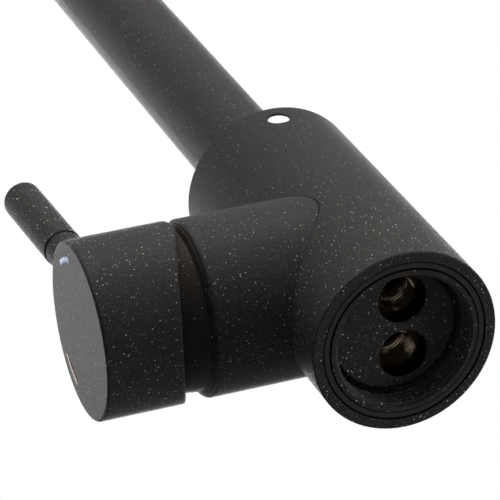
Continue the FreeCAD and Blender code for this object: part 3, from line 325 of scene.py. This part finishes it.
def coated_casting():
    """The same coating on the brass casting: its grains thin out upwards, its crease and seal groove
    are painted dark as shade, and the hose threads are bare brass, near black with lighter patches on
    top: partly tarnish and wear, partly a painted dark reflection and painted glints."""
    material, tree, place = new_material("coated_brass_casting")
    height = add(tree, "ShaderNodeSeparateXYZ", {0: place}).outputs["Z"]
    largest = add(tree, "ShaderNodeMapRange",
                  {"Value": height, "From Min": THINNING_MM[0], "From Max": THINNING_MM[1],
                   "To Min": FULL_GRAINS, "To Max": SPOUT_GRAINS})
    bare, brass = bare_ports(tree, place)
    coat_rough, normal = coat_relief(tree, place)
    rough = add(tree, "ShaderNodeMix", {"Factor": bare, "A": coat_rough, "B": BARE_ROUGHNESS})
    # Painted shade: the crease and the walls of the seal's groove are drawn near black
    coat = add(tree, "ShaderNodeMix",
               {"Factor": painted_shade_lines(tree, place), COLOUR_A: coat_colour(tree, place, largest.outputs[0]),
                COLOUR_B: linear("#121212")}, data_type="RGBA")
    colour = add(tree, "ShaderNodeMix", {"Factor": bare, COLOUR_A: coat.outputs[COLOUR_OUT],
                                         COLOUR_B: brass}, data_type="RGBA")
    finish_surface(tree, {"Base Color": colour.outputs[COLOUR_OUT], "Roughness": rough.outputs[0],
                          "Metallic": bare, "Specular IOR Level": COAT_GLOSS, "Normal": normal})
    return material


def moulded(name, dark, light, roughness, grain_mm, specular=0.5):
    """A moulded plastic, rubber or ceramic: one colour with a faint cloud, and a fine skin."""
    material, tree, place = new_material(name)
    cloud = add(tree, "ShaderNodeTexNoise", {"Vector": place, "Scale": 1 / CLOUD_MM, "Detail": 2.0})
    colour = add(tree, "ShaderNodeMix", {"Factor": cloud.outputs["Fac"], COLOUR_A: linear(dark),
                                         COLOUR_B: linear(light)}, data_type="RGBA")
    skin = add(tree, "ShaderNodeTexNoise", {"Vector": place, "Scale": 1 / grain_mm, "Detail": 2.0})
    rough = add(tree, "ShaderNodeMapRange", {"Value": skin.outputs["Fac"],
                                             "To Min": roughness - SKIN_SPREAD,
                                             "To Max": roughness + SKIN_SPREAD})
    bump = add(tree, "ShaderNodeBump", {"Strength": SKIN_BUMP, "Distance": RELIEF_MM * MM,
                                        "Height": skin.outputs["Fac"]})
    finish_surface(tree, {"Base Color": colour.outputs[COLOUR_OUT], "Roughness": rough.outputs[0],
                          "Specular IOR Level": specular, "Normal": bump.outputs["Normal"]})
    return material


def machined(name, dark, light, roughness, axis):
    """A turned metal: rings of the tool round its axis and a slight stain."""
    material, tree, place = new_material(name)
    stain = add(tree, "ShaderNodeTexNoise", {"Vector": place, "Scale": 1 / STAIN_MM, "Detail": 3.0})
    colour = add(tree, "ShaderNodeMix", {"Factor": stain.outputs["Fac"], COLOUR_A: linear(dark),
                                         COLOUR_B: linear(light)}, data_type="RGBA")
    along = add(tree, "ShaderNodeVectorMath", {0: place, 1: axis}, operation="MULTIPLY")
    rings = add(tree, "ShaderNodeTexNoise", {"Vector": along.outputs[0], "Scale": 1 / RING_PITCH_MM,
                                             "Detail": 1.0})
    rough = add(tree, "ShaderNodeMapRange", {"Value": rings.outputs["Fac"],
                                             "To Min": roughness - RING_SPREAD,
                                             "To Max": roughness + RING_SPREAD})
    bump = add(tree, "ShaderNodeBump", {"Strength": RING_BUMP, "Distance": RELIEF_MM * MM,
                                        "Height": rings.outputs["Fac"]})
    finish_surface(tree, {"Base Color": colour.outputs[COLOUR_OUT], "Metallic": 1.0,
                          "Roughness": rough.outputs[0], "Normal": bump.outputs["Normal"]})
    return material


def dress_nodes():
    """Give each CAD node the finish of its material slot, or its own."""
    finishes = {
        # Baked stone-look paint on brass: matte, with hard grains that show as small light dots
        "granite_coat": stone_coat("stone_coat", FULL_GRAINS),
        # Moulded rubber: a soft dull black that hardly mirrors
        "seal_rubber": moulded("nitrile_rubber", "#171718", "#1d1d1e", 0.6, 0.5, 0.15),
        # Moulded nylon: bright white with a soft gloss
        "white_nylon": moulded("white_nylon", "#f0efec", "#f6f5f2", 0.4, 0.4),
        # Moulded acetal, coloured or left as it comes: waxy, black, milky, grey or pale
        "dark_acetal": moulded("black_acetal", "#1d1d1e", "#232324", 0.6, 0.4, 0.1),
        "white_acetal": moulded("natural_acetal", "#e2e0d8", "#ebe9e2", 0.38, 0.4),
        "grey_acetal": moulded("grey_acetal", "#7d8084", "#888b8f", 0.4, 0.4),
        "clear_acetal": moulded("pale_acetal", "#cfd1d2", "#d9dbdc", 0.35, 0.4),
        # Lapped alumina: cream white, ground smooth, with a sharper gloss than the plastics
        "alumina": moulded("lapped_alumina", "#efece2", "#f4f1e9", 0.2, 0.3),
        # Turned brass without a finish: warm yellow, in faint rings
        "raw_brass": machined("machined_brass", "#b08f52", "#c3a468", 0.3, UPRIGHT),
        # Turned stainless steel: plain grey, in faint rings
        "stainless_steel": machined("turned_stainless_steel", "#a3a29f", "#b5b4b1", 0.28, TO_THE_BACK),
        # Nickel over turned brass: a warm grey mirror, slightly blurred by the rings under it
        "plated_brass": machined("nickel_plated_brass", "#bdbab3", "#cac7c0", 0.16, UPRIGHT),
    }
    own = {
        # Coated brass with bare ports, and painted shade in a crease and a groove
        "body_casting": coated_casting(),
        # A thinner coat, whose dots are smaller
        "spout_tube": stone_coat("thin_stone_coat", SPOUT_GRAINS),
        # The coat on the neck under the knob, painted darker and browner as the knob's shade
        "dome_cover": stone_coat("dark_stone_coat", NECK_GRAINS, "#272421", "#2d2926"),
    }
    slots = {part["node"]: part["material_slot"] for part in frame["record"]["subparts"]}
    for name, node in frame["nodes"].items():
        node.material_slots[0].material = own.get(name, finishes[slots[name]])
    return finishes


def new_tree(name, sizes):
    """A Geometry Nodes tree with named inputs for its sizes and its material."""
    tree = bpy.data.node_groups.new(name, "GeometryNodeTree")
    tree.interface.new_socket("Geometry", in_out="OUTPUT", socket_type="NodeSocketGeometry")
    for size in sizes:
        tree.interface.new_socket(size, in_out="INPUT", socket_type="NodeSocketFloat")
    tree.interface.new_socket("Material", in_out="INPUT", socket_type="NodeSocketMaterial")
    return tree, add(tree, "NodeGroupInput").outputs


def close_tree(tree, given, geometry):
    """End a tree with plain geometry in its material."""
    solid = add(tree, "GeometryNodeRealizeInstances", {"Geometry": geometry})
    dressed = add(tree, "GeometryNodeSetMaterial", {"Geometry": solid.outputs[0],
                                                    "Material": given["Material"]})
    add(tree, "NodeGroupOutput", {"Geometry": dressed.outputs[0]})


def made_by(tree, name, values, place):
    """Run a tree once and keep its result as a plain mesh, moved to its place."""
    piece = bpy.data.objects.new(name, bpy.data.meshes.new(name))
    scene.collection.objects.link(piece)
    modifier = piece.modifiers.new(name, "NODES")
    modifier.node_group = tree
    for socket in tree.interface.items_tree:
        if socket.in_out == "INPUT":
            modifier[socket.identifier] = values[socket.name]
    bpy.context.view_layer.update()
    evaluated = piece.evaluated_get(bpy.context.evaluated_depsgraph_get())
    mesh = bpy.data.meshes.new_from_object(evaluated)
    piece.modifiers.remove(modifier)
    piece.data = mesh
    mesh.transform(place)
    return piece


def arc_tree():
    """A flat printed arc round +Z, its middle on +X."""
    tree, given = new_tree("printed_arc", ["Radius", "Sweep", "Width", "Thickness"])
    half = add(tree, "ShaderNodeMath", {0: given["Sweep"], 1: -0.5}, operation="MULTIPLY")
    line = add(tree, "GeometryNodeCurveArc", {"Resolution": MARK_STEPS, "Radius": given["Radius"],
                                              "Start Angle": half.outputs[0],
                                              "Sweep Angle": given["Sweep"]})
    section = add(tree, "GeometryNodeCurvePrimitiveQuadrilateral",
                  {"Width": given["Width"], "Height": given["Thickness"]})
    band = add(tree, "GeometryNodeCurveToMesh", {"Curve": line.outputs["Curve"],
                                                 "Profile Curve": section.outputs[0],
                                                 "Fill Caps": True})
    close_tree(tree, given, band.outputs[0])
    return tree


def print_marks():
    """Cold and hot marks printed on the knob's face, one on each side of the lever."""
    low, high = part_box("lever_knob")
    middle = (low + high) / 2
    face = Matrix.Translation((high.x, 0, middle.z)) @ Matrix.Rotation(math.pi / 2, 4, "Y")
    # Pad-printed ink: a thin flat film with a soft gloss, pale blue and brownish red
    inks = {"cold_mark": moulded("cold_ink", "#7c9bd8", "#88a6de", 0.45, 0.4, 0.2),
            "hot_mark": moulded("hot_ink", "#8a4a3a", "#965242", 0.45, 0.4, 0.3)}
    tree = arc_tree()
    for name, side in (("cold_mark", 1), ("hot_mark", -1)):
        turn = Matrix.Rotation(math.pi - side * MARK_ANGLE, 4, "Z")
        sizes = {"Radius": MARK_RADIUS, "Sweep": MARK_SWEEP, "Width": MARK_WIDTH,
                 "Thickness": MARK_THICKNESS, "Material": inks[name]}
        mark = made_by(tree, name, sizes, face @ turn)
        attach(mark, "lever")


def comb_tree():
    """A round comb of six-sided cells with a plain rim, from z = 0 up."""
    tree, given = new_tree("aerator_comb", ["Pitch", "Opening", "Height", "Radius", "Rim"])
    # Points of a triangular lattice, each other row moved by half a pitch
    span = add(tree, "ShaderNodeMath", {0: given["Pitch"], 1: COMB_ROWS - 1}, operation="MULTIPLY")
    row = add(tree, "ShaderNodeMath", {0: given["Pitch"], 1: math.sqrt(3) / 2}, operation="MULTIPLY")
    depth = add(tree, "ShaderNodeMath", {0: row.outputs[0], 1: COMB_ROWS - 1}, operation="MULTIPLY")
    grid = add(tree, "GeometryNodeMeshGrid",
               {"Size X": span.outputs[0], "Size Y": depth.outputs[0],
                "Vertices X": COMB_ROWS, "Vertices Y": COMB_ROWS})
    parts = add(tree, "ShaderNodeSeparateXYZ", {0: add(tree, "GeometryNodeInputPosition").outputs[0]})
    number = add(tree, "ShaderNodeMath", {0: parts.outputs["Y"], 1: row.outputs[0]}, operation="DIVIDE")
    level = add(tree, "ShaderNodeMath", {0: number.outputs[0]}, operation="ROUND")
    odd = add(tree, "ShaderNodeMath", {0: level.outputs[0], 1: 2.0}, operation="FLOORED_MODULO")
    shift = add(tree, "ShaderNodeMath", {0: odd.outputs[0], 1: given["Pitch"]}, operation="MULTIPLY")
    half = add(tree, "ShaderNodeMath", {0: shift.outputs[0], 1: 0.5}, operation="MULTIPLY")
    sink = add(tree, "ShaderNodeMath", {0: given["Height"], 1: COMB_SINK}, operation="MULTIPLY")
    offset = add(tree, "ShaderNodeCombineXYZ", {"X": half.outputs[0], "Z": sink.outputs[0]})
    lattice = add(tree, "GeometryNodeSetPosition", {"Geometry": grid.outputs["Mesh"],
                                                    "Offset": offset.outputs[0]})
    # Six-sided cells round the points, cut to a disc
    triangles = add(tree, "GeometryNodeTriangulate", {"Mesh": lattice.outputs[0]})
    cells = add(tree, "GeometryNodeDualMesh", {"Mesh": triangles.outputs[0]})
    spot = add(tree, "GeometryNodeInputPosition")
    away = add(tree, "ShaderNodeVectorMath", {0: spot.outputs[0]}, operation="LENGTH")
    reach = add(tree, "ShaderNodeMath", {0: given["Radius"], 1: given["Rim"]}, operation="SUBTRACT")
    outside = add(tree, "FunctionNodeCompare", {0: away.outputs["Value"], 1: reach.outputs[0]},
                  operation="GREATER_THAN")
    trimmed = add(tree, "GeometryNodeDeleteGeometry", {"Geometry": cells.outputs[0],
                                                       "Selection": outside.outputs[0]}, domain="FACE")
    # An opening in each cell, and the walls between them raised to their height
    inset = add(tree, "GeometryNodeExtrudeMesh", {"Mesh": trimmed.outputs[0], "Offset Scale": 0.0,
                                                  "Individual": True})
    opened = add(tree, "GeometryNodeScaleElements", {"Geometry": inset.outputs["Mesh"],
                                                     "Selection": inset.outputs["Top"],
                                                     "Scale": given["Opening"]})
    sheet = add(tree, "GeometryNodeDeleteGeometry", {"Geometry": opened.outputs[0],
                                                     "Selection": inset.outputs["Top"]}, domain="FACE")
    up = add(tree, "ShaderNodeCombineXYZ", {"Z": 1.0})
    thick = add(tree, "ShaderNodeMath", {0: given["Height"], 1: 1 - 2 * COMB_SINK}, operation="MULTIPLY")
    raised = add(tree, "GeometryNodeExtrudeMesh", {"Mesh": sheet.outputs[0], "Offset": up.outputs[0],
                                                   "Offset Scale": thick.outputs[0], "Individual": False})
    bottom = add(tree, "GeometryNodeFlipFaces", {"Mesh": sheet.outputs[0]})
    walls = add(tree, "GeometryNodeJoinGeometry")
    tree.links.new(raised.outputs["Mesh"], walls.inputs[0])
    tree.links.new(bottom.outputs[0], walls.inputs[0])
    closed = add(tree, "GeometryNodeMergeByDistance", {"Geometry": walls.outputs[0],
                                                       "Distance": COMB_WELD})
    # The plain rim round them
    half_rim = add(tree, "ShaderNodeMath", {0: given["Rim"], 1: 0.5}, operation="MULTIPLY")
    rim_line = add(tree, "ShaderNodeMath", {0: given["Radius"], 1: half_rim.outputs[0]},
                   operation="SUBTRACT")
    circle = add(tree, "GeometryNodeCurvePrimitiveCircle", {"Resolution": RIM_STEPS,
                                                            "Radius": rim_line.outputs[0]})
    section = add(tree, "GeometryNodeCurvePrimitiveQuadrilateral",
                  {"Width": given["Rim"], "Height": given["Height"]})
    ring = add(tree, "GeometryNodeCurveToMesh", {"Curve": circle.outputs[0],
                                                 "Profile Curve": section.outputs[0]})
    half_height = add(tree, "ShaderNodeMath", {0: given["Height"], 1: 0.5}, operation="MULTIPLY")
    lift = add(tree, "ShaderNodeCombineXYZ", {"Z": half_height.outputs[0]})
    rim = add(tree, "GeometryNodeSetPosition", {"Geometry": ring.outputs[0], "Offset": lift.outputs[0]})
    comb = add(tree, "GeometryNodeJoinGeometry")
    tree.links.new(closed.outputs[0], comb.inputs[0])
    tree.links.new(rim.outputs[0], comb.inputs[0])
    close_tree(tree, given, comb.outputs[0])
    return tree


def fit_aerator(finish):
    """Comb of the aerator, in place of its plain insert."""
    low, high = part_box("aerator_insert")
    middle = (low + high) / 2
    radius = (high.x - low.x) / 2
    sizes = {"Pitch": COMB_PITCH, "Opening": COMB_OPENING, "Height": high.z - low.z,
             "Radius": radius, "Rim": COMB_RIM, "Material": finish}
    comb = made_by(comb_tree(), "aerator_comb", sizes, Matrix.Translation((middle.x, middle.y, low.z)))
    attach(comb, "spout")
    return comb


def set_camera():
    """A camera below and behind the tap, rolled as in the photograph."""
    camera = bpy.data.objects.new("camera", bpy.data.cameras.new("camera"))
    scene.collection.objects.link(camera)
    camera.location = CAMERA_PLACE
    aim = (CAMERA_TARGET - CAMERA_PLACE).to_track_quat("-Z", "Y")
    camera.rotation_mode = "QUATERNION"
    camera.rotation_quaternion = aim @ Quaternion((0, 0, 1), CAMERA_ROLL)
    camera.data.sensor_width = CAMERA_SENSOR
    camera.data.lens = CAMERA_LENS
    camera.data.shift_x, camera.data.shift_y = CAMERA_SHIFT
    camera.data.clip_start = CAMERA_NEAR
    scene.camera = camera


def set_world():
    """White behind the tap, also where it shows in a reflection; a dimmer level lights it."""
    world = bpy.data.worlds.new("studio")
    scene.world = world
    world.use_nodes = True
    tree = world.node_tree
    tree.nodes.clear()
    path = add(tree, "ShaderNodeLightPath")
    mirrored = add(tree, "ShaderNodeMath", {0: path.outputs["Is Camera Ray"],
                                            1: path.outputs["Is Glossy Ray"]}, operation="MAXIMUM")
    shown = add(tree, "ShaderNodeMath", {0: mirrored.outputs[0], 1: path.outputs["Is Transmission Ray"]},
                operation="MAXIMUM")
    strength = add(tree, "ShaderNodeMix", {"Factor": shown.outputs[0], "A": AMBIENT, "B": 1.0})
    light = add(tree, "ShaderNodeBackground", {"Color": linear("#ffffff"), "Strength": strength.outputs[0]})
    add(tree, "ShaderNodeOutputWorld", {"Surface": light.outputs[0]})


def softbox(name, place, watts):
    """A square lamp that faces the tap."""
    lamp = bpy.data.objects.new(name, bpy.data.lights.new(name, "AREA"))
    scene.collection.objects.link(lamp)
    lamp.data.size = LAMP_SIZE
    lamp.data.energy = watts
    lamp.location = place
    lamp.rotation_mode = "QUATERNION"
    lamp.rotation_quaternion = (CAMERA_TARGET - Vector(place)).to_track_quat("-Z", "Y")


def set_floor():
    """A pale worktop that shows from above and fades into the white round it; the view from below
    looks through it."""
    bpy.ops.mesh.primitive_circle_add(vertices=FLOOR_STEPS, radius=FLOOR_RADIUS, fill_type="NGON",
                                      location=(0, 0, -FLOOR_DROP))
    floor = bpy.context.object
    floor.name = "floor"
    material, tree, place = new_material("pale_worktop")
    path = add(tree, "ShaderNodeLightPath")
    side = add(tree, "ShaderNodeNewGeometry")
    above = add(tree, "ShaderNodeMath", {0: 1.0, 1: side.outputs["Backfacing"]}, operation="SUBTRACT")
    shown = add(tree, "ShaderNodeMath", {0: path.outputs["Is Camera Ray"], 1: above.outputs[0]},
                operation="MULTIPLY")
    away = add(tree, "ShaderNodeVectorMath", {0: place}, operation="LENGTH")
    solid = add(tree, "ShaderNodeMapRange",
                {"Value": away.outputs["Value"], "From Min": FLOOR_FADE[0] * FLOOR_RADIUS / MM,
                 "From Max": FLOOR_FADE[1] * FLOOR_RADIUS / MM, "To Min": 1.0, "To Max": 0.0},
                interpolation_type="SMOOTHSTEP")
    share = add(tree, "ShaderNodeMath", {0: shown.outputs[0], 1: solid.outputs[0]}, operation="MULTIPLY")
    clear = add(tree, "ShaderNodeBsdfTransparent")
    pale = add(tree, "ShaderNodeBsdfDiffuse", {"Color": linear("#f2f1ef")})
    mixed = add(tree, "ShaderNodeMixShader", {0: share.outputs[0], 1: clear.outputs[0],
                                              2: pale.outputs[0]})
    add(tree, "ShaderNodeOutputMaterial", {"Surface": mixed.outputs[0]})
    floor.data.materials.append(material)


finishes = dress_nodes()
print_marks()
comb = fit_aerator(finishes["clear_acetal"])
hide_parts("aerator_insert")
set_camera()
set_world()
for lamp_name, (lamp_place, lamp_watts) in LAMPS.items():
    softbox(lamp_name, lamp_place, lamp_watts)
set_floor()
scene.view_settings.view_transform = "Standard"
